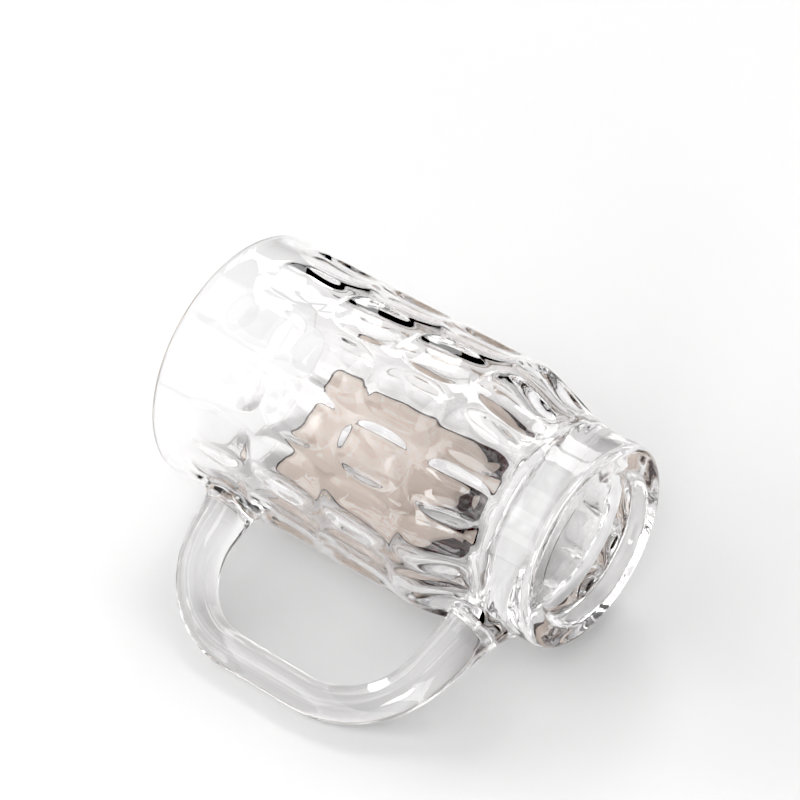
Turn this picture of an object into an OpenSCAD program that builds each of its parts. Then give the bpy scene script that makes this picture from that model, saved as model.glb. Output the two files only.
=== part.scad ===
// Dimpled glass beer mug, millimetres, +Z up.
// The origin is the centre of the foot on the surface that the mug stands on.
// The handle points along +X, and the printed label faces -Y.

/* [Body] */
// Overall height from the foot to the lip
mug_h = 152.4; // [130:0.1:175]
// Outer diameter of the barrel and of the lip
barrel_d = 90; // [80:0.5:100]
// Outer diameter of the foot
foot_d = 73.2; // [66:0.2:78]
// Height of the straight foot below the shoulder
foot_h = 14; // [8:0.5:20]
// Height of the shoulder that widens from the foot to the barrel
shoulder_h = 33; // [24:0.5:44]
// Rounding of the foot's lower edge
heel_r = 3; // [1.5:0.1:4]

/* [Glass thickness] */
// Wall of the barrel between two dimples
barrel_wall = 4.8; // [4:0.1:6]
// Wall at the lip
lip_wall = 3; // [2.4:0.1:3.6]
// Height of the thin, plain band below the lip
lip_band_h = 11; // [6:0.5:16]
// Height over which the wall thins towards the lip
lip_taper_h = 22; // [12:1:30]
// Thickness of the glass from the resting plane up to the drink's floor
floor_h = 21; // [14:0.5:24]
// Radius of the drink's floor
floor_r = 31; // [27:0.5:33]
// Width of the floor's rise towards the wall
floor_fillet_w = 16; // [4:0.5:20]
// Height of that rise
floor_fillet_h = 5; // [2:0.5:8]

/* [Hollow under the foot] */
// Diameter of the hollow under the foot
hollow_d = 53; // [40:1:58]
// Depth of the hollow at its centre
hollow_depth = 5; // [2:0.5:8]
// Width of the sloping edge between the resting ring and the hollow
hollow_edge_w = 4; // [2:0.5:6]

/* [Dimples] */
// Number of dimple columns beside the plain label panel
columns = 11; // [9:1:12]
// Angle from one column to the next, in degrees
column_step = 26.6; // [24:0.1:28]
// Direction of the middle column, in degrees from the handle
middle_column = 97.6; // [85:0.1:100]
// Number of dimple rows on the barrel
rows = 3; // [2:1:3]
// Height from one row's centre to the next
row_step = 30; // [26:0.5:32]
// Height of the lowest row's centre, on the shoulder
first_row_z = 34.3; // [30:0.1:38]
// Width of a dimple at the surface
dimple_w = 19.3; // [15:0.1:20]
// Height of a dimple at the surface
dimple_h = 28.4; // [26:0.1:29]
// Depth of a dimple on the barrel at its centre
dimple_depth = 2.2; // [1.4:0.1:2.6]
// Depth of a dimple on the shoulder at its centre
shoulder_dimple_depth = 3.4; // [1.6:0.1:3.6]
// Number of shoulder dimples below the label panel
panel_dimples = 3; // [0:1:4]

/* [Handle] */
// Distance of the grip's centre line from the mug's axis
grip_reach = 88; // [80:0.5:96]
// Diameter of the grip at its middle
grip_d = 12.4; // [10:0.1:14]
// Height of the upper arm's centre line
upper_arm_z = 122.5; // [112:0.5:130]
// Diameter of the upper arm where it meets the body
upper_end_d = 19; // [15:0.5:22]
// Radius of the upper bend's centre line
upper_bend_r = 31; // [22:1:34]
// Height of the lower arm's centre line where it leaves the foot
lower_arm_z = 20.5; // [16:0.5:26]
// Slope of the lower arm, in degrees
lower_slope = 14; // [0:1:20]
// Diameter of the lower arm where it meets the body
lower_end_d = 20; // [15:0.5:22]
// Radius of the lower bend's centre line
lower_bend_r = 36; // [24:1:40]

/* [Label] */
// Width of the printed label, measured round the barrel
label_w = 52; // [30:1:53]
// Height of the printed label
label_h = 86; // [46:1:88]
// Height of the label's centre
label_z = 97; // [92:1:100]
// Rounding of the label's corners
label_corner_r = 8; // [5:1:15]
// Width of the dark border
border_w = 0.9; // [0.6:0.1:4]
// Width of the dark border at the label's foot end
border_foot_w = 12; // [2:0.5:16]
// Distance from the border to the red band
band_inset = 2.4; // [1.5:0.1:4]
// Width of the red band
band_w = 1.6; // [1:0.1:3]
// Width of the diamond in the label's middle
emblem_w = 16; // [8:0.5:16]
// Thickness of one printed layer
print_t = 0.2; // [0.15:0.05:0.3]

/* [Hidden] */
$fn = 96;
// Overrun of a cut past the face it goes through
cut = 1;
// Steps in which a blend between two radii is drawn, and degrees per step of an arc
blend_steps = 12;
arc_step = 15;
barrel_r = barrel_d / 2;
foot_r = foot_d / 2;
barrel_z = foot_h + shoulder_h;
inner_r = barrel_r - barrel_wall;
lip_inner_r = barrel_r - lip_wall;
lip_r = lip_wall / 2;
taper_top_z = mug_h - lip_band_h;
taper_low_z = taper_top_z - lip_taper_h;
// The drink's own shoulder starts where the floor's rise ends, and ends one wall above the glass's
inner_shoulder_z = floor_h + floor_fillet_h;
inner_barrel_z = barrel_z + barrel_wall;
hollow_r = hollow_d / 2;
// The resting ring lies between the hollow's edge and the heel
ring_inner_r = hollow_r + hollow_edge_w / 2;
hollow_floor_r = hollow_r - hollow_edge_w / 2;
dimple_half_angle = asin(dimple_w / 2 / barrel_r);
first_column = middle_column - column_step * (columns - 1) / 2;
last_column = middle_column + column_step * (columns - 1) / 2;
// The shoulder dimples below the panel share the gap between the last column and the first
panel_step = (360 - column_step * (columns - 1)) / (panel_dimples + 1);
panel_half_angle = dimple_half_angle * min(1, panel_step / column_step);
panel_centre = middle_column + 180;
// How far the ground's middle lies above the label's
ground_shift = (border_foot_w - border_w) / 2;
shoulder_tilt = atan((barrel_r - foot_r) / shoulder_h);

// Points of an arc about [cx, cz], from angle a0 to angle a1
function arc(cx, cz, r, a0, a1) =
    let (n = ceil(abs(a1 - a0) / arc_step))
    [for (i = [0:n]) [cx + r * cos(a0 + (a1 - a0) * i / n), cz + r * sin(a0 + (a1 - a0) * i / n)]];

// Points of a smooth S from [r0, z0] to [r1, z1], upright at both ends
function s_blend(r0, z0, r1, z1) =
    [for (i = [0:blend_steps]) let (t = i / blend_steps)
        [r0 + (r1 - r0) * (1 - cos(180 * t)) / 2, z0 + (z1 - z0) * t]];

// Radius of the glass at a height on the shoulder
function shoulder_r(z) = foot_r + (barrel_r - foot_r) * (1 - cos(180 * (z - foot_h) / shoulder_h)) / 2;

// Radius of a ball that cuts a hollow of a given half angle and depth into a cylinder
function ball_r(r, half_angle, depth) =
    let (u = r - depth)
    (r * r + u * u - 2 * r * u * cos(half_angle)) / (2 * (r * cos(half_angle) - u));

// The outer shape as one turned solid
module blank() {
    rotate_extrude()
        polygon(concat(
            [[0, 0]],
            arc(foot_r - heel_r, heel_r, heel_r, -90, 0),
            s_blend(foot_r, foot_h, barrel_r, barrel_z),
            arc(barrel_r - lip_r, mug_h - lip_r, lip_r, 0, 90),
            [[0, mug_h]]));
}

// The space for the drink, widening to the thin lip and rounded over at the rim
module drink_space() {
    rotate_extrude()
        polygon(concat(
            [[0, floor_h]],
            [for (p = arc(0, 0, 1, -90, 0))
                [floor_r - floor_fillet_w + p[0] * floor_fillet_w, inner_shoulder_z + p[1] * floor_fillet_h]],
            s_blend(floor_r, inner_shoulder_z, inner_r, inner_barrel_z),
            s_blend(inner_r, taper_low_z, lip_inner_r, taper_top_z),
            arc(barrel_r - lip_r, mug_h - lip_r, lip_r, 180, 90),
            [[barrel_r - lip_r, mug_h + cut], [0, mug_h + cut]]));
}

// The shallow hollow under the foot, with a sloping edge
module foot_hollow() {
    rotate_extrude()
        polygon(concat(
            [[0, -cut], [ring_inner_r, -cut]],
            s_blend(ring_inner_r, 0, hollow_floor_r, hollow_depth),
            [[0, hollow_depth]]));
}

// A ball-ended cutter along Z, of a half angle and a depth at a surface of radius r, which lies at x = 0
module dimple_cutter(r, half_angle, depth) {
    ball = ball_r(r, half_angle, depth);
    reach = sqrt(2 * ball * depth - depth * depth);
    straight = dimple_h - 2 * reach;
    translate([ball - depth, 0, -straight / 2]) {
        cylinder(r = ball, h = straight);
        sphere(r = ball);
        translate([0, 0, straight])
            sphere(r = ball);
    }
}

// A dimple is left out where an end of the handle would cover part of it
touch_angle = asin(lower_end_d / 2 / foot_r) + dimple_half_angle;
function near_arm(z, arm_z, end_d) = abs(z - arm_z) < (dimple_h + end_d) / 2;
function covered(angle, z) =
    cos(angle) > cos(touch_angle)
    && (near_arm(z, upper_arm_z, upper_end_d) || near_arm(z, lower_arm_z, lower_end_d));

// One dimple on the shoulder, leaning with it, at an angle from the handle
module shoulder_dimple(angle, half_angle) {
    low_r = shoulder_r(first_row_z);
    if (!covered(angle, first_row_z))
        rotate([0, 0, angle])
            translate([low_r, 0, first_row_z])
                rotate([0, shoulder_tilt, 0])
                    dimple_cutter(low_r, half_angle, shoulder_dimple_depth);
}

// The dimples above it on the barrel
module barrel_dimples(angle) {
    rotate([0, 0, angle])
        for (row = [1:rows]) {
            z = first_row_z + row * row_step;
            if (!covered(angle, z))
                translate([barrel_r, 0, z])
                    dimple_cutter(barrel_r, dimple_half_angle, dimple_depth);
        }
}

// The turned glass with its first columns of dimples, cut one column after the other
module dimpled_glass(count) {
    angle = first_column + (count - 1) * column_step;
    difference() {
        if (count > 1)
            dimpled_glass(count - 1);
        else
            turned_glass();
        shoulder_dimple(angle, dimple_half_angle);
        barrel_dimples(angle);
    }
}

// The same glass with the first of the shoulder dimples below the panel
module panelled_glass(count) {
    if (count > 0)
        difference() {
            panelled_glass(count - 1);
            shoulder_dimple(last_column + count * panel_step, panel_half_angle);
        }
    else
        dimpled_glass(columns);
}

// The glass before its dimples
module turned_glass() {
    difference() {
        blank();
        drink_space();
        foot_hollow();
    }
}

module mug_body() {
    color([0.86, 0.9, 0.9, 0.4])
        panelled_glass(panel_dimples);
}

// Centres of the two bends, in the handle's own plane of reach and height
upper_arc_x = grip_reach - upper_bend_r;
upper_arc_z = upper_arm_z - upper_bend_r;
lower_arc_x = grip_reach - lower_bend_r;
lower_arc_z = lower_arm_z + (lower_arc_x - foot_r) * tan(lower_slope) + lower_bend_r / cos(lower_slope);
lower_turn = 90 - lower_slope;
lower_leave_x = lower_arc_x + lower_bend_r * sin(lower_slope);
lower_leave_z = lower_arc_z - lower_bend_r * cos(lower_slope);
// The arms start inside the glass, so that the cut gives them the body's own shape
sunk = barrel_wall;
upper_start_x = barrel_r - sunk;
lower_start_x = foot_r - sunk;
lower_start_z = lower_arm_z - sunk * tan(lower_slope);
// Rings of the swept bar: in each arm, in each bend, and the sides of each ring
arm_rings = 2;
bend_rings = 10;
ring_sides = 24;

// Path of the bar's centre line in the handle's plane, as [reach, height, heading in degrees]
bar_path = concat(
    [for (i = [0:arm_rings]) let (t = i / arm_rings)
        [upper_start_x + (upper_arc_x - upper_start_x) * t, upper_arm_z, 0]],
    [for (i = [1:bend_rings]) let (a = 90 * i / bend_rings)
        [upper_arc_x + upper_bend_r * sin(a), upper_arc_z + upper_bend_r * cos(a), -a]],
    [for (i = [0:bend_rings]) let (a = lower_turn * i / bend_rings)
        [lower_arc_x + lower_bend_r * cos(a), lower_arc_z - lower_bend_r * sin(a), -90 - a]],
    [for (i = [1:arm_rings]) let (t = i / arm_rings)
        [lower_leave_x + (lower_start_x - lower_leave_x) * t,
         lower_leave_z + (lower_start_z - lower_leave_z) * t, -90 - lower_turn]]);

// Length of the path up to each of its points
function path_lengths(i = 0, sum = 0) =
    i == len(bar_path) - 1 ? [sum] :
    concat([sum], path_lengths(i + 1, sum + norm([bar_path[i + 1][0] - bar_path[i][0],
                                                  bar_path[i + 1][1] - bar_path[i][1]])));
lengths = path_lengths();
path_length = lengths[len(lengths) - 1];
// Share of the path over which each end thins to the grip
taper_share = 0.45;

// How far an end's extra thickness is left at a distance from it, from 1 to 0
function thickening(s) = pow(max(0, 1 - s / (path_length * taper_share)), 2);

// Half thickness of the bar at a distance along its path
function bar_r(s) =
    grip_d / 2
    + (upper_end_d - grip_d) / 2 * thickening(s)
    + (lower_end_d - grip_d) / 2 * thickening(path_length - s);

// The bar, swept along its path as rings joined by triangles
module handle_bar() {
    n = len(bar_path);
    points = [for (i = [0:n - 1]) let (p = bar_path[i], r = bar_r(lengths[i]))
        for (j = [0:ring_sides - 1]) let (a = 360 * j / ring_sides)
            [p[0] - r * cos(a) * sin(p[2]), r * sin(a), p[1] + r * cos(a) * cos(p[2])]];
    sides = [for (i = [0:n - 2]) for (j = [0:ring_sides - 1])
        let (a = i * ring_sides + j, b = i * ring_sides + (j + 1) % ring_sides)
            each [[a, b, a + ring_sides], [b, b + ring_sides, a + ring_sides]]];
    start = [[for (j = [ring_sides - 1:-1:0]) j]];
    end = [[for (j = [0:ring_sides - 1]) (n - 1) * ring_sides + j]];
    polyhedron(points = points, faces = concat(sides, start, end));
}

// The handle is laid on hot, so its ends take the body's outer shape
module handle() {
    color([0.86, 0.9, 0.9, 0.4])
        difference() {
            handle_bar();
            blank();
        }
}

// A rectangle with round corners, of a width measured round the barrel
module label_outline(w, h, corner) {
    x = barrel_r * sin(w / 2 / barrel_r * 180 / PI) - corner;
    z = h / 2 - corner;
    polygon(concat(
        arc(x, z, corner, 0, 90),
        arc(-x, z, corner, 90, 180),
        arc(-x, -z, corner, 180, 270),
        arc(x, -z, corner, 270, 360)));
}

// The ground's outline between the dark borders, drawn in from its edge by an inset
module ground_outline(inset) {
    side = border_w + inset;
    translate([0, ground_shift])
        label_outline(label_w - 2 * side, label_h - side - border_foot_w - inset,
                      max(label_corner_r - side, print_t));
}

// A printed layer on the label panel: the shapes below it, wrapped on the barrel as layer 0, 1 and so on
module print_layer(layer) {
    inside = barrel_r + layer * print_t;
    rotate([0, 0, panel_centre + 90])
        intersection() {
            translate([0, 0, label_z])
                rotate([90, 0, 0])
                    linear_extrude(height = barrel_d)
                        children();
            difference() {
                cylinder(r = inside + print_t, h = mug_h);
                translate([0, 0, -cut])
                    cylinder(r = inside, h = mug_h + 2 * cut);
            }
        }
}

module label_ground() {
    color([0.93, 0.88, 0.8])
        print_layer(0)
            ground_outline(0);
}

module label_border() {
    color([0.07, 0.05, 0.05])
        print_layer(0)
            difference() {
                label_outline(label_w, label_h, label_corner_r);
                ground_outline(0);
            }
}

module label_band() {
    color([0.45, 0.06, 0.08])
        print_layer(1)
            difference() {
                ground_outline(band_inset);
                ground_outline(band_inset + band_w);
            }
}

// A plain diamond between two small ones
module label_emblem() {
    half = emblem_w / 2;
    color([0.45, 0.06, 0.08])
        print_layer(1)
            for (size_share = [1, 0.4]) for (side = [-1, 1])
                translate([0, ground_shift + side * (1 - size_share) * emblem_w * 2])
                    polygon([[half * size_share, 0], [0, half * size_share],
                             [-half * size_share, 0], [0, -half * size_share]]);
}

mug_body();
handle();
label_ground();
label_border();
label_band();
label_emblem();
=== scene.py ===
import math
import bpy
import numpy as np
from mathutils import Matrix, Vector


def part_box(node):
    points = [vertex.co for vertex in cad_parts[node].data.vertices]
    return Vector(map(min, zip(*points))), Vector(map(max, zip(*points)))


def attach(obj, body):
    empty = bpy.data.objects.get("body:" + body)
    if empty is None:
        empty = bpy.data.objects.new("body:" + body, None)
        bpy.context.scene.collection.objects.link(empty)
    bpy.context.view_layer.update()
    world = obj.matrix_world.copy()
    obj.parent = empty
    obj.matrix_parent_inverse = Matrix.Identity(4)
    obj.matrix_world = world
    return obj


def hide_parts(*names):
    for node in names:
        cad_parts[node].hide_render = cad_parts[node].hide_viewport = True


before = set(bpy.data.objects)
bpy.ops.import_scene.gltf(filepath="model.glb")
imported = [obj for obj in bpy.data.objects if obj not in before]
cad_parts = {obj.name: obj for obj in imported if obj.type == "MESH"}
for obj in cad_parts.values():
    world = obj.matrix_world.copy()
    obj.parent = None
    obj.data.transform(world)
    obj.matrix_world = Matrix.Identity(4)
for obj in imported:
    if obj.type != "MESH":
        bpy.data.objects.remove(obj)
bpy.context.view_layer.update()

# A clear glass beer mug, lying on a white table on its barrel and its handle.
# Lengths are in metres, written as millimetres times mm, in the mug's own frame:
# Z goes up the axis and X to the handle.
mm = 0.001
cubicCentimetre = 1e-6
bodyLow, bodyHigh = (np.array(corner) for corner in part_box("mug_body"))
barrelRadius = float(min((bodyHigh - bodyLow)[:2])) / 2
mugHeight = float(bodyHigh[2])
yAxis = np.array([0.0, 1.0, 0.0])
print("frame: a mug", round(mugHeight / mm, 1), "mm tall and",
      round(2 * barrelRadius / mm, 1), "mm across")

# The camera comes first. It looks at the mug from beside its foot, rolled about its own view.
view = dict(
    place=(172.5 * mm, 1050.8 * mm, -488.7 * mm),
    target=(-12.36 * mm, 2.18 * mm, 89.08 * mm),
    rollDegrees=61.75,
    lens=163.4,        # millimetres, on a sensor 36 mm wide
    sensor=36.0,
    nearest=0.01,
    furthest=50.0,
)


def addCamera():
    # Columns of the turn are the camera's right, up and back.
    # Up is level cross forward, turned about the line of sight by the roll.
    place = Vector(view["place"])
    forward = (Vector(view["target"]) - place).normalized()
    level = forward.cross(Vector((0, 0, 1))).normalized()
    roll = math.radians(view["rollDegrees"])
    up = level.cross(forward) * math.cos(roll) + level * math.sin(roll)
    right = forward.cross(up)
    turn = Matrix((right, up, -forward)).transposed().to_4x4()
    data = bpy.data.cameras.new("photoCamera")
    data.lens = view["lens"]
    data.sensor_width = view["sensor"]
    data.clip_start = view["nearest"]
    data.clip_end = view["furthest"]
    camera = bpy.data.objects.new("photoCamera", data)
    camera.matrix_world = Matrix.Translation(place) @ turn
    bpy.context.collection.objects.link(camera)
    bpy.context.scene.camera = camera


addCamera()
print("camera: lens", view["lens"], "mm")


class Wire:
    # A shader socket that can be used in Python arithmetic; each operator adds one Math node.
    def __init__(self, tree, socket):
        self.tree, self.socket = tree, socket

    def maths(self, operation, *values):
        node = self.tree.nodes.new("ShaderNodeMath")
        node.operation = operation
        for slot, value in zip(node.inputs, values):
            if isinstance(value, Wire):
                self.tree.links.new(value.socket, slot)
            else:
                slot.default_value = value
        return Wire(self.tree, node.outputs[0])

    def __add__(self, other):
        return self.maths("ADD", self, other)

    def __radd__(self, other):
        return self.maths("ADD", other, self)

    def __sub__(self, other):
        return self.maths("SUBTRACT", self, other)

    def __rsub__(self, other):
        return self.maths("SUBTRACT", other, self)

    def __mul__(self, other):
        return self.maths("MULTIPLY", self, other)

    def __rmul__(self, other):
        return self.maths("MULTIPLY", other, self)

    def __gt__(self, other):
        return self.maths("GREATER_THAN", self, other)

    def above(self, other):
        return self.maths("MAXIMUM", self, other)

    def below(self, other):
        return self.maths("MINIMUM", self, other)

    def size(self):
        return self.maths("ABSOLUTE", self)

    def root(self):
        return self.maths("SQRT", self)

    def clamped(self):
        return self.above(0.0).below(1.0)


class Finish:
    # The nodes of a material or of the world.
    def __init__(self, owner):
        self.owner = owner
        owner.use_nodes = True
        self.tree = owner.node_tree
        self.tree.nodes.clear()

    def node(self, kind, settings=None, inputs=None, output=0):
        # Any node: its type, its settings, the values or wires of its sockets, and the output wanted.
        made = self.tree.nodes.new(kind)
        for name, value in (settings or {}).items():
            if name == "stops":
                ramp = made.color_ramp
                while len(ramp.elements) < len(value):
                    ramp.elements.new(0.5)
                for element, (position, colour) in zip(ramp.elements, value):
                    element.position, element.color = position, colour
            else:
                setattr(made, name, value)
        for name, value in (inputs or {}).items():
            if isinstance(value, Wire):
                self.tree.links.new(value.socket, made.inputs[name])
            else:
                made.inputs[name].default_value = value
        return None if output is None else Wire(self.tree, made.outputs[output])

    def place(self):
        return self.node("ShaderNodeTexCoord", output="Object")

    def parts(self, vector):
        # The three numbers of a vector.
        split = self.node("ShaderNodeSeparateXYZ", {}, {0: vector}).socket.node
        return [Wire(self.tree, output) for output in split.outputs]

    def noise(self, size, detail, roughness=0.5):
        # Fractal noise whose waves are about one size long.
        return self.node("ShaderNodeTexNoise", {}, {
            "Vector": self.place(), "Scale": 1 / size, "Detail": detail, "Roughness": roughness})

    def bump(self, height, depth):
        return self.node("ShaderNodeBump", {}, {"Height": height, "Distance": depth})

    def surface(self, shader, kind="ShaderNodeOutputMaterial"):
        self.node(kind, {}, {"Surface": shader}, output=None)
        return self.owner


def newFinish(name):
    return Finish(bpy.data.materials.new(name))


def gridFaces(rows, columns, closedRows=False):
    # Quads of a grid whose columns wrap round, as indices row * columns + column.
    i, j = np.meshgrid(np.arange(rows if closedRows else rows - 1), np.arange(columns), indexing="ij")
    here, below, beside = i * columns, (i + 1) % rows * columns, (j + 1) % columns
    return np.stack([here + j, here + beside, below + beside, below + j], axis=-1).reshape(-1, 4)


def makePiece(name, grid, startPole=None, endPole=None, closedRows=False):
    # A closed mesh from a grid of rows that wrap round, with a fan to a point at each open end.
    # Its volume is a sixth of the sum of a . (b x c) over its triangles, and where that is
    # negative the faces are turned round, so that they face outwards.
    rows, columns = grid.shape[:2]
    points = grid.reshape(-1, 3)
    quads = gridFaces(rows, columns, closedRows)
    j = np.arange(columns)
    beside = (j + 1) % columns
    fans = []
    if startPole is not None:
        points = np.vstack([points, startPole])
        fans.append(np.stack([beside, j, np.full(columns, len(points) - 1)], axis=-1))
    if endPole is not None:
        points = np.vstack([points, endPole])
        last = (rows - 1) * columns
        fans.append(np.stack([last + j, last + beside, np.full(columns, len(points) - 1)], axis=-1))
    triangles = np.vstack([quads[:, [0, 1, 2]], quads[:, [0, 2, 3]], *fans])
    corner = points[triangles]
    volume = np.einsum("ij,ij->i", corner[:, 0], np.cross(corner[:, 1], corner[:, 2])).sum() / 6
    faces = quads.tolist() + [face for fan in fans for face in fan.tolist()]
    if volume < 0:
        faces = [face[::-1] for face in faces]
    mesh = bpy.data.meshes.new(name)
    mesh.from_pydata(points.tolist(), [], faces)
    mesh.polygons.foreach_set("use_smooth", np.ones(len(mesh.polygons), bool))
    mesh.update()
    piece = bpy.data.objects.new(name, mesh)
    bpy.context.collection.objects.link(piece)
    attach(piece, "root")
    print(name, "has", len(faces), "faces and holds", round(abs(volume) / cubicCentimetre, 2),
          "cubic centimetres")
    return piece


def sBlend(t):
    # Half a cosine wave from 0 to 1: 1 less the cosine, halved.
    return (1 - np.cos(np.pi * np.clip(t, 0, 1))) / 2


# The glass body: one profile turned about the axis, with dimples pressed in along its normals.
mug = dict(
    footRadius=36.6 * mm, footHeight=14 * mm, shoulderHeight=33 * mm, heelRadius=3 * mm,
    wall=4.8 * mm, lipWall=3.0 * mm, lipBand=11 * mm, lipTaper=22 * mm,
    floorHeight=21 * mm, floorRadius=31 * mm, floorRise=5 * mm, floorRiseWidth=16 * mm,
    hollowRadius=26.5 * mm, hollowDepth=5 * mm, hollowEdge=4 * mm,
    hollowCrown=0.1,      # how much of the hollow's depth its middle has more than its edge
    middle=0.4 * mm,      # radius of the small fans that close the outline on the axis
    seamHeight=17 * mm, seamDepth=0.12 * mm, seamWidth=0.5 * mm, seamWander=0.3 * mm,
    ripple=0.1 * mm,      # unevenness of the hollow's slope and of the floor's rise
    around=420,
)
# How many points each stretch of the outline has.
steps = dict(dome=10, slope=12, ring=5, heel=9, outside=122, lip=13, inside=38, rise=18, floor=8)
dimple = dict(
    columns=11, columnStep=26.6, middleColumn=97.6,      # degrees from the handle
    panelDimples=3,       # on the shoulder below the label, sharing the gap between the columns
    rowCentres=(34.3 * mm, 64.3 * mm, 94.3 * mm, 124.3 * mm),
    halfHeights=(13.6 * mm, 14.2 * mm, 14.2 * mm, 14.2 * mm),
    halfWidth=9.65 * mm, depths=(3.4 * mm, 2.2 * mm, 2.2 * mm, 2.2 * mm),
    corner=2.7,           # power of the outline: 2 is an ellipse, more is squarer
    edgeSoftness=0.05, wander=0.25 * mm, depthSpread=0.06,
    innerShare=0.3,       # how much of each dimple shows as a swelling inside
    innerSoftness=0.1,
    farAway=3.0,          # a distance from the middle at which there is no dimple
    seed=11,
)
barrelZ = mug["footHeight"] + mug["shoulderHeight"]
innerRadiusMain = barrelRadius - mug["wall"]
lipRadius = mug["lipWall"] / 2
panelAngle = math.radians(dimple["middleColumn"] + 180)


def outerRadius(z):
    # Foot radius, then half a cosine wave up to the barrel radius.
    rise = sBlend((z - mug["footHeight"]) / mug["shoulderHeight"])
    return mug["footRadius"] + (barrelRadius - mug["footRadius"]) * rise


def innerRadius(z):
    # Floor radius, a cosine shoulder to the barrel's inside, and another to the thinner lip.
    low, top = mug["floorHeight"] + mug["floorRise"], barrelZ + mug["wall"]
    thinTop = mugHeight - mug["lipBand"]
    shoulder = (innerRadiusMain - mug["floorRadius"]) * sBlend((z - low) / (top - low))
    thinT = (z - thinTop + mug["lipTaper"]) / mug["lipTaper"]
    thinning = (mug["wall"] - mug["lipWall"]) * sBlend(thinT)
    return mug["floorRadius"] + shoulder + thinning


def dimpleColumns():
    # Directions of the columns, a step apart about the middle one, then of the shoulder's own
    # dimples below the label, which share what is left, and how wide each is.
    step, count, extra = math.radians(dimple["columnStep"]), dimple["columns"], dimple["panelDimples"]
    last = math.radians(dimple["middleColumn"]) + step * (count - 1) / 2
    panelStep = (2 * math.pi - step * (count - 1)) / (extra + 1)
    angles = np.concatenate([last - step * np.arange(count)[::-1],
                             last + panelStep * np.arange(1, extra + 1)])
    widths = np.concatenate([np.ones(count), np.full(extra, min(1, panelStep / step))])
    return angles, widths


def dimpleShape(azimuth, z):
    # 1 at a dimple's middle and 0 at its edge, negative beyond: 1 - s squared, where s is the distance
    # from the middle as |u|^n + |v|^n = s^n, with each dimple a little off its place.
    # Also returns that dimple's own depth.
    luck = np.random.default_rng(dimple["seed"])
    angles, widths = dimpleColumns()
    rowCount, columnCount = len(dimple["rowCentres"]), len(angles)
    shift = luck.uniform(-1, 1, (2, rowCount, columnCount)) * dimple["wander"]
    deepness = np.array(dimple["depths"])[:, None]
    deepness = deepness * (1 + luck.uniform(-1, 1, (rowCount, columnCount)) * dimple["depthSpread"])
    away = (azimuth[..., None] - angles + np.pi) % (2 * np.pi) - np.pi
    column = np.abs(away / widths).argmin(axis=-1)
    centres, halves = np.array(dimple["rowCentres"]), np.array(dimple["halfHeights"])
    row = np.abs(z[..., None] - centres).argmin(axis=-1)
    aside = np.take_along_axis(away, column[..., None], axis=-1)[..., 0] * barrelRadius
    u = (aside + shift[0, row, column]) / (dimple["halfWidth"] * widths[column])
    v = (z - centres[row] + shift[1, row, column]) / halves[row]
    power = dimple["corner"]
    s = (np.abs(u) ** power + np.abs(v) ** power) ** (1 / power)
    # The panel's own dimples are on the shoulder, in the lowest row, only.
    s = np.where((column >= dimple["columns"]) & (row > 0), dimple["farAway"], s)
    return 1 - s ** 2, deepness[row, column]


def softened(height, softness):
    # The height where it is over 0, and 0 elsewhere, with the corner between them rounded:
    # half of the height plus the root of its square and the softness's. It is cut off well below 0.
    cutOff = -20 * softness
    return (height + np.sqrt(height ** 2 + softness ** 2)) / 2 * (height > cutOff)


def bodyRadius(azimuth, z):
    # Distance of the dimpled outside from the axis: the turned radius less the dimple's depth.
    shape, deep = dimpleShape(azimuth, z)
    return outerRadius(z) - deep * softened(shape, dimple["edgeSoftness"])


def arc(centreR, centreZ, radius, start, end, count):
    # Points on a circle between two angles in degrees: centre plus radius times cosine and sine.
    angle = np.radians(np.linspace(start, end, count))
    return np.stack([centreR + radius * np.cos(angle), centreZ + radius * np.sin(angle)], axis=-1)


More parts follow.
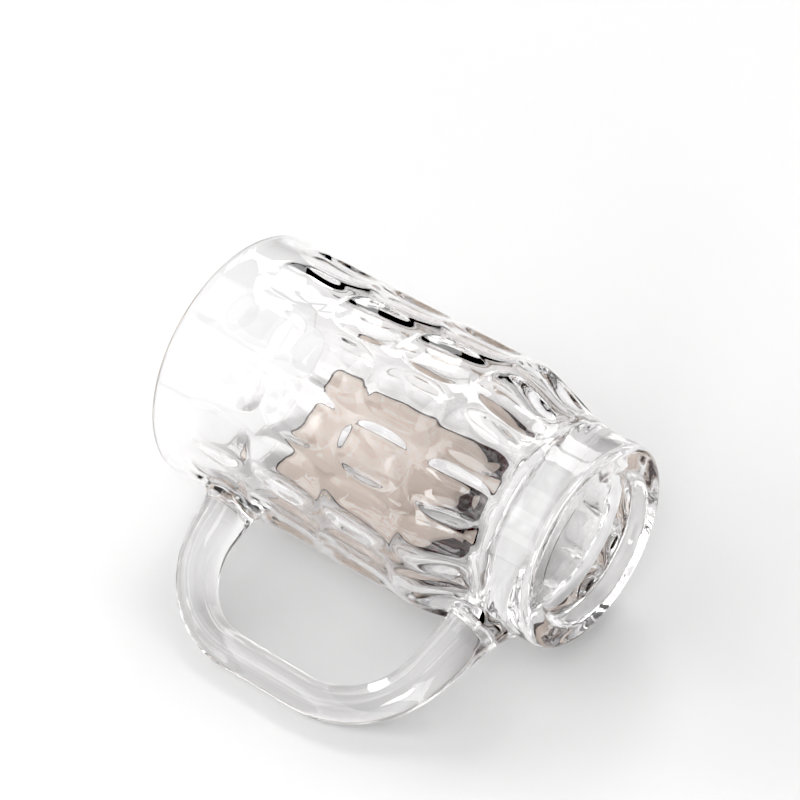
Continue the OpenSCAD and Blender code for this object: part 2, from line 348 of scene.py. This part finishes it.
def bodyProfile():
    # The closed outline from the middle of the underside round the foot, up, over the lip and down
    # to the floor. Also returns which points are on the outside, which on the inside, and how uneven.
    edge, crown = mug["hollowEdge"] / 2, mug["hollowCrown"]
    domeR = np.linspace(mug["middle"], mug["hollowRadius"] - edge, steps["dome"])
    dome = np.stack([domeR, mug["hollowDepth"] * (1 - crown * (domeR / domeR[-1]) ** 2)], axis=-1)
    slopeT = np.linspace(0, 1, steps["slope"])[1:]
    slope = np.stack([mug["hollowRadius"] - edge + slopeT * 2 * edge,
                      (1 - crown) * mug["hollowDepth"] * (1 - sBlend(slopeT))], axis=-1)
    heelR = mug["footRadius"] - mug["heelRadius"]
    ringR = np.linspace(mug["hollowRadius"] + edge, heelR, steps["ring"])[1:-1]
    ring = np.stack([ringR, np.zeros(len(ringR))], axis=-1)
    heel = arc(heelR, mug["heelRadius"], mug["heelRadius"], -90, 0, steps["heel"])
    wallZ = np.linspace(mug["heelRadius"], mugHeight - lipRadius, steps["outside"])[1:-1]
    outside = np.stack([outerRadius(wallZ), wallZ], axis=-1)
    lip = arc(barrelRadius - lipRadius, mugHeight - lipRadius, lipRadius, 0, 180, steps["lip"])
    floorTop = mug["floorHeight"] + mug["floorRise"]
    insideZ = np.linspace(mugHeight - lipRadius, floorTop, steps["inside"])[1:-1]
    inside = np.stack([innerRadius(insideZ), insideZ], axis=-1)
    # The floor's rise is a quarter of a lying ellipse.
    flatRadius = mug["floorRadius"] - mug["floorRiseWidth"]
    rise = arc(0, 0, 1, 0, -90, steps["rise"]) * [mug["floorRiseWidth"], mug["floorRise"]]
    rise = rise + [flatRadius, floorTop]
    floorR = np.linspace(flatRadius, mug["middle"], steps["floor"])[1:]
    floor = np.stack([floorR, np.full(len(floorR), mug["floorHeight"])], axis=-1)

    stretches = [dome, slope, ring, heel, outside, lip, inside, rise, floor]
    marks = np.zeros((3, sum(map(len, stretches)), 1))
    onOutside, onInside, uneven = marks
    starts = np.cumsum([0] + [len(stretch) for stretch in stretches])
    onOutside[starts[4]:starts[5]] = 1
    onInside[starts[6]:starts[7]] = 1
    uneven[starts[1]:starts[2], 0] = np.sin(np.pi * slopeT)
    uneven[starts[7]:starts[8], 0] = np.sin(np.linspace(0, np.pi, len(rise)))
    return np.vstack(stretches), onOutside, onInside, uneven


def buildBody():
    # Each profile point at every azimuth, moved along the profile's normal: out by the swelling
    # and the ripple, and in by the dimple's depth there.
    outline, onOutside, onInside, uneven = bodyProfile()
    along = np.gradient(outline, axis=0)
    along /= np.linalg.norm(along, axis=1, keepdims=True)
    normal = np.stack([along[:, 1], -along[:, 0]], axis=-1)
    azimuth = np.linspace(0, 2 * np.pi, mug["around"], endpoint=False)
    turn, height = np.meshgrid(azimuth, outline[:, 1])
    shape, deep = dimpleShape(turn, height)
    pressed = onOutside * deep * softened(shape, dimple["edgeSoftness"])
    wander = mug["seamWander"] * np.sin(9 * turn + np.sin(4 * turn))
    seam = np.exp(-((height - mug["seamHeight"] - wander) / mug["seamWidth"]) ** 2)
    pressed += onOutside * mug["seamDepth"] * seam
    # The inside's normal points to the axis, so a swelling goes along it.
    swelling = onInside * dimple["innerShare"] * deep * softened(shape, dimple["innerSoftness"]) ** 2
    # Two waves round the foot, each of which draws together and apart, look like chance.
    ripple = (np.sin(11 * turn + 1.5 * np.sin(3 * turn))
              + 0.5 * np.sin(17 * turn + 2 * np.sin(2 * turn)))
    move = swelling - pressed + uneven * mug["ripple"] * ripple
    radius = outline[:, :1] + move * normal[:, :1]
    z = outline[:, 1:] + move * normal[:, 1:]
    grid = np.stack([radius * np.cos(turn), radius * np.sin(turn), z], axis=-1)
    return makePiece("glassBody", grid, startPole=[0, 0, mug["hollowDepth"]],
                     endPole=[0, 0, mug["floorHeight"]])


# The handle: a bar laid on hot, thick at its ends, whose ends spread on the body.
handle = dict(
    gripReach=87.99 * mm, gripRadius=6.2 * mm,
    upperArm=122.5 * mm, upperEnd=9.5 * mm, upperBend=31 * mm,
    lowerArm=20.5 * mm, lowerEnd=10 * mm, lowerBend=36 * mm, lowerSlope=14.0,
    taperShare=0.45,      # of the whole length, at each end
    upperFlare=(2.4 * mm, 1.8 * mm),      # how far, and over what length
    lowerFlare=(3.2 * mm, 2.6 * mm),
    ridge=0.1 * mm, ridgeLength=2.8 * mm, ridgeReach=4 * mm, ridgeStart=0.5 * mm,
    crinkle=0.6 * mm, crinkleReach=3 * mm, flareCrinkle=1.5,
    sink=0.15 * mm, endLength=9 * mm,
    endRows=46, rowsCrowd=1.7, capRows=6, barRows=150, around=112, seed=5,
)


def barPath():
    # Lines and arcs in turn: upper arm, bend, grip, bend and lower arm, as functions of the length
    # from the body. On an arc, x and z are its centre plus its radius times sine and cosine.
    slope = math.radians(handle["lowerSlope"])
    upperX, upperZ = handle["gripReach"] - handle["upperBend"], handle["upperArm"] - handle["upperBend"]
    lowerX = handle["gripReach"] - handle["lowerBend"]
    lowerZ = (handle["lowerArm"] + (lowerX - mug["footRadius"]) * math.tan(slope)
              + handle["lowerBend"] / math.cos(slope))
    startX, endX = barrelRadius - mug["wall"], mug["footRadius"] - mug["wall"]
    leaveX = lowerX + handle["lowerBend"] * math.sin(slope)
    leaveZ = lowerZ - handle["lowerBend"] * math.cos(slope)
    runs = np.cumsum([0, upperX - startX, handle["upperBend"] * math.pi / 2, upperZ - lowerZ,
                      handle["lowerBend"] * (math.pi / 2 - slope), (leaveX - endX) / math.cos(slope)])

    def at(s):
        s = np.asarray(s, float)
        a = (s - runs[1]) / handle["upperBend"]
        b = (s - runs[3]) / handle["lowerBend"]
        d = s - runs[4]
        where = [s < runs[1], s < runs[2], s < runs[3], s < runs[4]]
        x = np.select(where, [
            startX + s, upperX + handle["upperBend"] * np.sin(a),
            0 * s + handle["gripReach"], lowerX + handle["lowerBend"] * np.cos(b),
        ], leaveX - d * math.cos(slope))
        z = np.select(where, [
            0 * s + handle["upperArm"], upperZ + handle["upperBend"] * np.cos(a),
            upperZ - (s - runs[2]), lowerZ - handle["lowerBend"] * np.sin(b),
        ], leaveZ - d * math.sin(slope))
        heading = np.select(where, [0 * s, -a, 0 * s - math.pi / 2, -math.pi / 2 - b],
                            -math.pi + slope)
        return x, z, heading

    return at, runs[-1]


def barRadius(s, length):
    # The grip's radius plus what each end adds, which falls as the square of the distance left.
    reach = length * handle["taperShare"]
    upper = np.clip(1 - s / reach, 0, 1) ** 2
    lower = np.clip(1 - (length - s) / reach, 0, 1) ** 2
    return (handle["gripRadius"] + (handle["upperEnd"] - handle["gripRadius"]) * upper
            + (handle["lowerEnd"] - handle["gripRadius"]) * lower)


def meetBody(origin, outward, across):
    # Distance along the arm at which a line beside its axis meets the dimpled outside, by
    # correcting it again and again by most of what the point's radius is short of the body's.
    rounds, most = 30, 0.8
    ahead = np.zeros(across.shape[:-1])
    for _ in range(rounds):
        point = origin + across + ahead[..., None] * outward
        radius = np.hypot(point[..., 0], point[..., 1])
        azimuth = np.arctan2(point[..., 1], point[..., 0])
        ahead = ahead + most * (bodyRadius(azimuth, point[..., 2]) - radius)
    return ahead


def armEnd(origin, outward, normal, radiusAt, flare, luck):
    # Rings from the middle of the end's face to its rim, then along the arm from the body to a
    # flat ring. The radius is the arm's, plus a flare that dies away as exp(-distance / length),
    # plus waves round the arm, summed from sines of 2 to 8 turns with chance sizes and places.
    angle = np.linspace(0, 2 * np.pi, handle["around"], endpoint=False)
    waves = sum(luck.uniform(0.3, 1) * np.sin(turns * angle + luck.uniform(0, 6.3)) / turns ** 0.5
                for turns in range(2, 9))
    waves *= handle["crinkle"] / np.abs(waves).max()
    t = (np.linspace(0, 1, handle["endRows"]) ** handle["rowsCrowd"])[:, None]
    away = t * handle["endLength"]
    spread = np.exp(-away / flare[1])
    radius = (radiusAt(away) + spread * (flare[0] + waves * handle["flareCrinkle"])
              + waves * np.exp(-away / handle["crinkleReach"]) * (1 - spread))
    # The flow lines are waves along the arm that die away from the body.
    flow = np.sin(2 * np.pi * away / handle["ridgeLength"] + 1.2 * np.sin(angle)
                  + waves / handle["crinkle"])
    flow = flow * np.exp(-away / handle["ridgeReach"]) * np.clip(away / handle["ridgeStart"], 0, 1)
    radius += handle["ridge"] * flow
    share = np.linspace(0, 1, handle["capRows"] + 1)[1:-1, None]
    radius = np.vstack([share * radius[:1], radius + 0 * angle])
    t = np.vstack([0 * share, t])
    across = radius[..., None] * (np.cos(angle)[:, None] * normal + np.sin(angle)[:, None] * yAxis)
    start = meetBody(origin, outward, across) - handle["sink"]
    ahead = start * (1 - t) + handle["endLength"] * t
    middleStart = meetBody(origin, outward, np.zeros((1, 3)))[0] - handle["sink"]
    return origin + across + ahead[..., None] * outward, origin + middleStart * outward


def armFrame(at, s):
    # A point of the path with the directions along it and square to it in the handle's plane.
    x, z, heading = (float(value) for value in at(s))
    along = np.array([math.cos(heading), 0, math.sin(heading)])
    square = np.array([-math.sin(heading), 0, math.cos(heading)])
    return np.array([x, 0, z]), along, square


def buildHandle():
    # Both stuck ends and, between them, rings square to the path: each point is the path's plus
    # the radius times cosine in the handle's plane and sine across it.
    at, length = barPath()
    luck = np.random.default_rng(handle["seed"])
    inside = mug["wall"]
    # Both arms are measured from the point where their axis passes the undimpled body.
    upperOrigin, upperAlong, upperSquare = armFrame(at, inside)
    lowerOrigin, lowerAlong, lowerSquare = armFrame(at, length - inside)
    reach = handle["endLength"]
    upper, upperPole = armEnd(
        upperOrigin, upperAlong, upperSquare,
        lambda away: barRadius(inside + away, length), handle["upperFlare"], luck)
    lower, lowerPole = armEnd(
        lowerOrigin, -lowerAlong, lowerSquare,
        lambda away: barRadius(length - inside - away, length), handle["lowerFlare"], luck)
    s = np.linspace(inside + reach, length - inside - reach, handle["barRows"])[1:-1]
    x, z, heading = at(s)
    angle = np.linspace(0, 2 * np.pi, handle["around"], endpoint=False)
    radius = barRadius(s, length)[:, None]
    out = radius * np.cos(angle)
    bar = np.stack([x[:, None] - out * np.sin(heading)[:, None], radius * np.sin(angle),
                    z[:, None] + out * np.cos(heading)[:, None]], axis=-1)
    grid = np.concatenate([upper, bar, lower[::-1]])
    piece = makePiece("glassHandle", grid, startPole=upperPole, endPole=lowerPole)
    # Faces of the two end caps take the second material slot.
    capFaces = np.zeros(len(piece.data.polygons), np.int32)
    columns, capRows = handle["around"], handle["capRows"] - 1
    quads = (len(grid) - 1) * columns
    capFaces[:capRows * columns] = 1
    capFaces[quads - capRows * columns:] = 1
    return piece, capFaces, (upperOrigin, upperSquare), (lowerOrigin, lowerSquare)


# The label: printed layers on the smooth panel, turned about the axis to the panel's middle.
label = dict(
    width=52 * mm, height=86 * mm, centre=97 * mm, corner=8 * mm,
    layer=0.199 * mm,     # how thick each layer is
    lift=0.01 * mm,       # how far the first is off the glass
    border=1.2 * mm, footBorder=12 * mm, bandInset=2.4 * mm, band=1.6 * mm,
    emblem=16 * mm, smallShare=0.4,       # the small diamonds' share of the large one
    perCorner=12, perSide=18, fillRows=14, ringStep=6,
)


def labelBox(inset=None):
    # Half width, lower and upper edge and corner radius of the whole label, or of its ground drawn
    # in by an inset. The width is measured round the barrel, and the half width straight across:
    # the radius times the sine of the half angle.
    side = 0 if inset is None else label["border"] + inset
    foot = 0 if inset is None else label["footBorder"] + inset
    across = barrelRadius * math.sin((label["width"] / 2 - side) / barrelRadius)
    return across, foot - label["height"] / 2, label["height"] / 2 - side, label["corner"] - side


def roundedOutline(inset=None):
    # Points round a rectangle with round corners, each a quarter circle, as distance across and
    # height from the label's middle.
    across, low, high, corner = labelBox(inset)
    x, below, above = across - corner, low + corner, high - corner
    sides = []
    for quarter, (cx, cz) in enumerate([(x, above), (-x, above), (-x, below), (x, below)]):
        angle = np.linspace(0, np.pi / 2, label["perCorner"]) + quarter * np.pi / 2
        sides.append(np.stack([cx + corner * np.cos(angle), cz + corner * np.sin(angle)], axis=-1))
    between = np.linspace(0, 1, label["perSide"] + 2)[1:-1, None]
    joined = []
    for here, after in zip(sides, sides[1:] + sides[:1]):
        joined += [here, here[-1] * (1 - between) + after[0] * between]
    return np.vstack(joined)


def diamondOutline(size, height):
    # Points round a square stood on its corner, mixed in even shares between each two corners.
    corners = np.array([[1, 0], [0, 1], [-1, 0], [0, -1]]) * size / 2 + [0, height]
    between = np.linspace(0, 1, label["perSide"])[:-1, None]
    return np.vstack([here * (1 - between) + after * between
                      for here, after in zip(corners, np.roll(corners, -1, axis=0))])


def wrapped(flat, radius):
    # A point at a distance across and a height, moved straight back on to a cylinder about the
    # axis: its turn from the panel's middle is the arc sine of the distance over the radius.
    turn = panelAngle + np.arcsin(flat[..., 0] / barrelRadius)
    z = flat[..., 1] + label["centre"]
    return np.stack([radius * np.cos(turn), radius * np.sin(turn), z], axis=-1)


def printedPiece(name, outline, hole, layer):
    # A thin layer between an outline and a hole or a middle point, whose rows are the two mixed
    # in even shares: across its back, then across its front.
    back = barrelRadius + layer * label["layer"] + label["lift"] * (layer == 0)
    front = barrelRadius + (layer + 1) * label["layer"]
    share = np.linspace(0, 1, label["fillRows"])[:, None, None]
    if hole is None:
        middle = outline.mean(axis=0)
        rows = middle + (outline - middle) * share[1:]
        grid = np.concatenate([wrapped(rows, back), wrapped(rows[::-1], front)])
        poles = wrapped(np.array([middle, middle]), np.array([back, front]))
        return makePiece(name, grid, startPole=poles[0], endPole=poles[1])
    rows = hole + (outline - hole) * share[::label["ringStep"]]
    grid = np.concatenate([wrapped(rows, back), wrapped(rows[::-1], front)])
    return makePiece(name, grid, closedRows=True)


def buildLabel():
    # Ground and border side by side on the glass, and the band and three diamonds on the ground.
    bandOut, bandIn = label["bandInset"], label["bandInset"] + label["band"]
    middle = (label["footBorder"] - label["border"]) / 2
    small = label["emblem"] * label["smallShare"]
    apart = (1 - label["smallShare"]) * label["emblem"] * 2
    whole, ground = roundedOutline(), roundedOutline(0)
    pieces = {
        "label_ground": [printedPiece("labelGround", ground, None, 0)],
        "label_border": [printedPiece("labelBorder", whole, ground, 0)],
        "label_band": [printedPiece("labelBand", roundedOutline(bandOut), roundedOutline(bandIn), 1)],
        "label_emblem": [
            printedPiece("labelDiamond", diamondOutline(label["emblem"], middle), None, 1),
            printedPiece("labelDiamondUpper", diamondOutline(small, middle + apart), None, 1),
            printedPiece("labelDiamondLower", diamondOutline(small, middle - apart), None, 1),
        ],
    }
    for node, made in pieces.items():
        for piece in made:
            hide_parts(node)
    return pieces


# The glass: clear, faintly uneven as blown glass is, and one solid mass where the handle and the
# print are fused to it.
glass = dict(
    colour=(0.993, 0.985, 0.986, 1.0), index=1.5, roughness=0.0,
    swellSize=14 * mm, swellDepth=0.05 * mm, swellDetail=1.0,
    rippleSize=3 * mm, rippleDepth=0.004 * mm, rippleDetail=2.0,
)
weld = dict(
    softness=0.05 * mm,
    upperDepth=1.6 * mm,      # outside the barrel's inner face
    lowerDepth=2 * mm,        # inside the foot's outer face
    printInset=0.6 * mm, printDepth=0.5 * mm,
    printTurn=0.45,           # the furthest turn, in radians, from the panel's middle
)


def glassShader(finish):
    # Clear glass whose surface swells over centimetres and ripples over millimetres.
    swell = finish.bump(finish.noise(glass["swellSize"], glass["swellDetail"]), glass["swellDepth"])
    ripple = finish.node("ShaderNodeBump", {}, {
        "Height": finish.noise(glass["rippleSize"], glass["rippleDetail"]),
        "Distance": glass["rippleDepth"], "Normal": swell})
    return finish.node("ShaderNodeBsdfPrincipled", {}, {
        "Base Color": glass["colour"], "Roughness": glass["roughness"], "IOR": glass["index"],
        "Transmission Weight": 1.0, "Normal": ripple})


def armWeld(parts, origin, square, radius, least):
    # 1 inside a cylinder about the arm's axis, where the distance from that axis is under the
    # radius, and further than a least distance from the mug's axis.
    x, y, z = parts
    aside = (x - float(origin[0])) * float(square[0]) + (z - float(origin[2])) * float(square[2])
    distance = (aside * aside + y * y).root()
    outside = (x * x + y * y).root() > least
    return ((radius - distance) * (1 / weld["softness"])).clamped() * outside * (x > 0.0)


def labelWeld(parts):
    # 1 inside the label's outline drawn in by the inset, on the outside only. The distance from a
    # rectangle with round corners is what u and v lie beyond the corner's centre, less its radius.
    x, y, z = parts
    aside = y * math.cos(panelAngle) - x * math.sin(panelAngle)
    across, _, high, corner = labelBox()
    u = aside.size() - (across - corner)
    v = (z - label["centre"]).size() - (high - corner)
    beyond = (u.above(0.0) * u.above(0.0) + v.above(0.0) * v.above(0.0)).root()
    edge = beyond + u.above(v).below(0.0) - corner
    towards = x * math.cos(panelAngle) + y * math.sin(panelAngle)
    outside = ((towards > innerRadiusMain * math.cos(weld["printTurn"]))
               * ((x * x + y * y).root() > barrelRadius - weld["printDepth"]))
    return ((edge * -1.0 - weld["printInset"]) * (1 / weld["softness"])).clamped() * outside


def bodyGlass(upper, lower):
    # Glass, but clear for light inside the three welds, where something is fused to it.
    finish = newFinish("clearGlassBody")
    parts = finish.parts(finish.place())
    upperWeld = armWeld(parts, *upper, handle["upperEnd"], innerRadiusMain + weld["upperDepth"])
    lowerWeld = armWeld(parts, *lower, handle["lowerEnd"], mug["footRadius"] - weld["lowerDepth"])
    welds = upperWeld.above(lowerWeld).above(labelWeld(parts))
    clear = finish.node("ShaderNodeBsdfTransparent")
    mixed = finish.node("ShaderNodeMixShader", {}, {0: welds, 1: glassShader(finish), 2: clear})
    return finish.surface(mixed)


def handleGlass():
    finish = newFinish("clearGlassHandle")
    return finish.surface(glassShader(finish))


def weldGlass():
    # The handle's two end faces, which are fused to the body.
    finish = newFinish("fusedGlass")
    return finish.surface(finish.node("ShaderNodeBsdfTransparent"))


# The print's fired colours, each mottled between a light and a dark tone.
enamels = dict(
    cream=dict(light=(0.98, 0.87, 0.78, 1), dark=(0.97, 0.85, 0.755, 1), roughness=0.35),
    dark=dict(light=(0.075, 0.014, 0.018, 1), dark=(0.006, 0.004, 0.004, 1), roughness=0.22),
    red=dict(light=(0.30, 0.025, 0.040, 1), dark=(0.20, 0.012, 0.022, 1), roughness=0.25),
)
printed = dict(
    mottleSize=5 * mm, mottleDetail=4.0, mottleRoughness=0.6, mottleEnds=(0.35, 0.65),
    peelSize=0.6 * mm, peelDetail=2.0, peelDepth=0.01 * mm, peelGloss=0.12, index=1.5,
)


def enamel(name):
    # Fired print: a soft mottling of the colour and a slight orange peel, which also varies the
    # gloss: roughness plus a share of the peel's noise, centred on 0.
    values = enamels[name]
    finish = newFinish(name + "Enamel")
    mottle = finish.noise(printed["mottleSize"], printed["mottleDetail"], printed["mottleRoughness"])
    low, high = printed["mottleEnds"]
    stops = [(low, values["dark"]), (high, values["light"])]
    colour = finish.node("ShaderNodeValToRGB", {"stops": stops}, {"Fac": mottle})
    peel = finish.noise(printed["peelSize"], printed["peelDetail"])
    rough = values["roughness"] + (peel - 0.5) * printed["peelGloss"]
    return finish.surface(finish.node("ShaderNodeBsdfPrincipled", {}, {
        "Base Color": colour, "Roughness": rough, "IOR": printed["index"],
        "Normal": finish.bump(peel, printed["peelDepth"])}))


def dressMug():
    # Builds every piece, hides the part it stands in for and gives it its finish.
    body = buildBody()
    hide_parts("mug_body")
    grip, capFaces, upper, lower = buildHandle()
    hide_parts("handle")
    pieces = buildLabel()
    body.data.materials.append(bodyGlass(upper, lower))
    grip.data.materials.append(handleGlass())
    grip.data.materials.append(weldGlass())
    grip.data.polygons.foreach_set("material_index", capFaces)
    colours = {"label_ground": ("cream", "cream_enamel"), "label_border": ("dark", "dark_enamel"),
               "label_band": ("red", "red_enamel"), "label_emblem": ("red", "red_enamel")}
    for node, made in pieces.items():
        finishName, slotName = colours[node]
        material = enamel(finishName)
        for piece in made:
            piece.data.materials.append(material)
    return body, grip


# The table, on which the barrel and the handle lie.
table = dict(
    size=6.0, cells=4, colour=(0.76, 0.76, 0.76, 1.0), roughness=0.6, index=1.4,
    glow=0.5,                 # how bright it is to a dull surface
    turnEnds=(30, 90),        # degrees between which the way down is looked for
    halvings=40,
)
# The label, two layers thick, lies against the table.
tableDistance = barrelRadius + 2 * label["layer"]


def restingAngle(grip):
    # The turn from the handle to straight down at which the handle reaches as low as the barrel,
    # by halving. A point's depth is x times cosine less y times sine of the turn.
    points = np.empty(len(grip.data.vertices) * 3)
    grip.data.vertices.foreach_get("co", points)
    points = points.reshape(-1, 3)
    low, high = (math.radians(end) for end in table["turnEnds"])
    for _ in range(table["halvings"]):
        angle = (low + high) / 2
        depth = (points[:, 0] * math.cos(angle) - points[:, 1] * math.sin(angle)).max()
        low, high = (angle, high) if depth > tableDistance else (low, angle)
    return angle


def oneSided(finish, shader):
    # Seen from below, the table lets the light through, so that every view shows the mug.
    # A dull surface that lies on it, such as the label, gets an even light from it.
    back = finish.node("ShaderNodeNewGeometry", output="Backfacing")
    dull = finish.node("ShaderNodeLightPath", output="Is Diffuse Ray")
    glow = finish.node("ShaderNodeEmission", {}, {"Color": table["colour"], "Strength": table["glow"]})
    shader = finish.node("ShaderNodeMixShader", {}, {0: dull, 1: shader, 2: glow})
    clear = finish.node("ShaderNodeBsdfTransparent")
    return finish.surface(finish.node("ShaderNodeMixShader", {}, {0: back, 1: shader, 2: clear}))


def addTable(grip):
    # A flat grid of quads square to straight down, facing up. Returns the ways up and beside.
    angle = restingAngle(grip)
    down = np.array([math.cos(angle), -math.sin(angle), 0])
    beside = np.array([math.sin(angle), math.cos(angle), 0])
    upMug = np.array([0, 0, 1.0])
    span = np.linspace(-0.5, 0.5, table["cells"] + 1) * table["size"]
    a, b = np.meshgrid(span, span, indexing="ij")
    points = (down * tableDistance + a[..., None] * beside + b[..., None] * upMug).reshape(-1, 3)
    n = table["cells"] + 1
    i, j = np.meshgrid(np.arange(n - 1), np.arange(n - 1), indexing="ij")
    first = i * n + j
    faces = np.stack([first, first + n, first + n + 1, first + 1], axis=-1).reshape(-1, 4)
    corner = points[faces[0]]
    if np.dot(np.cross(corner[1] - corner[0], corner[2] - corner[0]), down) > 0:
        faces = faces[:, ::-1]
    mesh = bpy.data.meshes.new("table")
    mesh.from_pydata(points.tolist(), [], faces.tolist())
    top = bpy.data.objects.new("table", mesh)
    bpy.context.collection.objects.link(top)
    finish = newFinish("whiteTable")
    shade = finish.node("ShaderNodeBsdfPrincipled", {}, {
        "Base Color": table["colour"], "Roughness": table["roughness"], "IOR": table["index"]})
    mesh.materials.append(oneSided(finish, shade))
    print("table: down is", round(math.degrees(angle), 1), "degrees from the handle")
    return -down, beside


# Light: soft boxes round the table, tilted down to it, and a dark room that gives the glass its
# black lines. Each group of boxes has one size. A box has its turn from the side where the handle
# points and its height, both in degrees, and a brightness.
light = dict(
    room=(0.004, 0.003, 0.003, 1.0), backdrop=(0.9, 0.9, 0.9, 1.0), distance=1.2, gain=1.22,
    groups=[
        # Large soft ones beyond the rim, which the near wall mirrors.
        dict(size=(0.70, 0.60), boxes=[
            (30, 15, 1.23), (60, 15, 1.58), (30, 35, 1.39), (60, 35, 0.75), (90, 35, 1.91),
            (30, 55, 1.23), (90, 55, 0.83)]),
        # Small bright ones, for the lights and darks in the glass.
        dict(size=(0.36, 0.36), boxes=[
            (330, 15, 7.75), (150, 35, 3.71), (150, 55, 4.75), (180, 55, 5.06), (330, 55, 3.23)]),
        # Large dim ones beyond the foot, seen through the glass from the other sides.
        dict(size=(1.00, 1.00), boxes=[
            (195, 25, 0.45), (240, 25, 0.45), (285, 25, 0.45), (345, 35, 0.45), (238, 62, 0.45),
            (325, 72, 0.45)]),
    ],
)


def addBox(number, turn, height, bright, size, up, beside):
    # A lamp at a distance from the mug's middle that faces it. Its way back from the mug is level
    # times cosine plus up times sine of its height. Its power is brightness times pi times area.
    turn, height = math.radians(turn), math.radians(height)
    level = beside * math.cos(turn) + Vector((0, 0, 1)) * math.sin(turn)
    back = level * math.cos(height) + up * math.sin(height)
    right = up.cross(back).normalized()
    frameTurn = Matrix((right, back.cross(right), back)).transposed().to_4x4()
    data = bpy.data.lights.new("box%d" % number, "AREA")
    data.shape = "RECTANGLE"
    data.size, data.size_y = size
    data.energy = light["gain"] * bright * math.pi * size[0] * size[1]
    lamp = bpy.data.objects.new("box%d" % number, data)
    middle = Vector((0, 0, mugHeight / 2))
    lamp.matrix_world = Matrix.Translation(middle + back * light["distance"]) @ frameTurn
    lamp.visible_camera = False
    bpy.context.collection.objects.link(lamp)


def addLight(up, beside):
    # The room lights the glass; past the table the camera sees a pale backdrop in its place.
    world = bpy.data.worlds.new("room")
    bpy.context.scene.world = world
    finish = Finish(world)
    room = finish.node("ShaderNodeBackground", {}, {"Color": light["room"]})
    seen = finish.node("ShaderNodeBackground", {}, {"Color": light["backdrop"]})
    direct = finish.node("ShaderNodeLightPath", output="Is Camera Ray")
    mixed = finish.node("ShaderNodeMixShader", {}, {0: direct, 1: room, 2: seen})
    finish.surface(mixed, "ShaderNodeOutputWorld")
    number = 0
    for group in light["groups"]:
        for turn, height, bright in group["boxes"]:
            addBox(number, turn, height, bright, group["size"], Vector(up), Vector(beside))
            number += 1
    print("light:", number, "soft boxes")


look = dict(bounces=32, glassBounces=28, glossBounces=12, clearBounces=24, blackLevel=0.07)


def setLook():
    # Glass needs many bounces, and the photograph's white table is fully white.
    scene = bpy.context.scene
    scene.cycles.max_bounces = look["bounces"]
    scene.cycles.transmission_bounces = look["glassBounces"]
    scene.cycles.glossy_bounces = look["glossBounces"]
    scene.cycles.transparent_max_bounces = look["clearBounces"]
    scene.cycles.use_denoising = True
    scene.view_settings.view_transform = "Standard"
    scene.view_settings.exposure = 0.0
    # The photograph's blacks are black through the faint mirror image of the boxes on the glass.
    scene.view_settings.use_curve_mapping = True
    scene.view_settings.curve_mapping.black_level = (look["blackLevel"],) * 3
    scene.view_settings.curve_mapping.update()


body, grip = dressMug()
up, beside = addTable(grip)
addLight(up, beside)
setLook()
